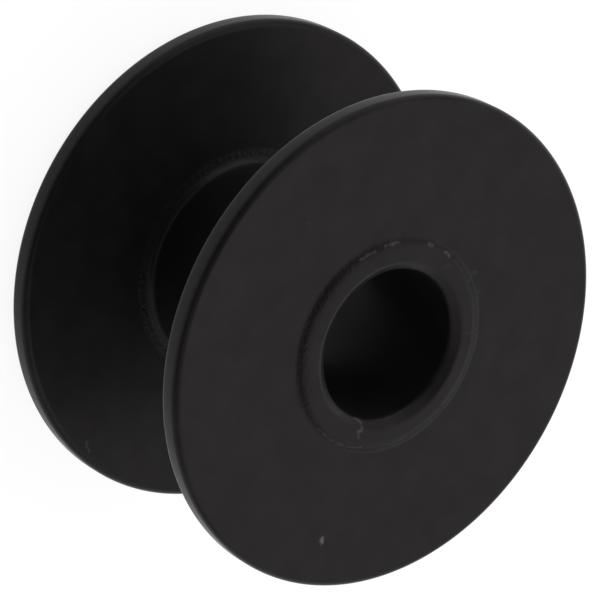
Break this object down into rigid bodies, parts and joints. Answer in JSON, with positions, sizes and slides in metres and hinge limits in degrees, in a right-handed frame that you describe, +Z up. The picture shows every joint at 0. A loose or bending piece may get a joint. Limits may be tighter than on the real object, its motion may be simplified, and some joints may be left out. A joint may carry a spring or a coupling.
{
  "type": "sewing machine bobbin",
  "caption": "Black metal spool: flat round flanges on a hollow core, wound with a sewing machine's lower thread and slipped over a spindle by its bore.",
  "frame": {"origin": "on the axis, on the surface that the lower lip stands on", "axes": "+Z up the bore's axis; the bobbin is round about Z and the same at both ends"},
  "size_m": [0.0203, 0.0202, 0.0118],
  "materials": {
    "black_coat": "satin black coat on steel"
  },
  "bodies": {
    "root": {"hub_tube": "black_coat", "lower_flange": "black_coat", "upper_flange": "black_coat"}
  },
  "joints": []
}
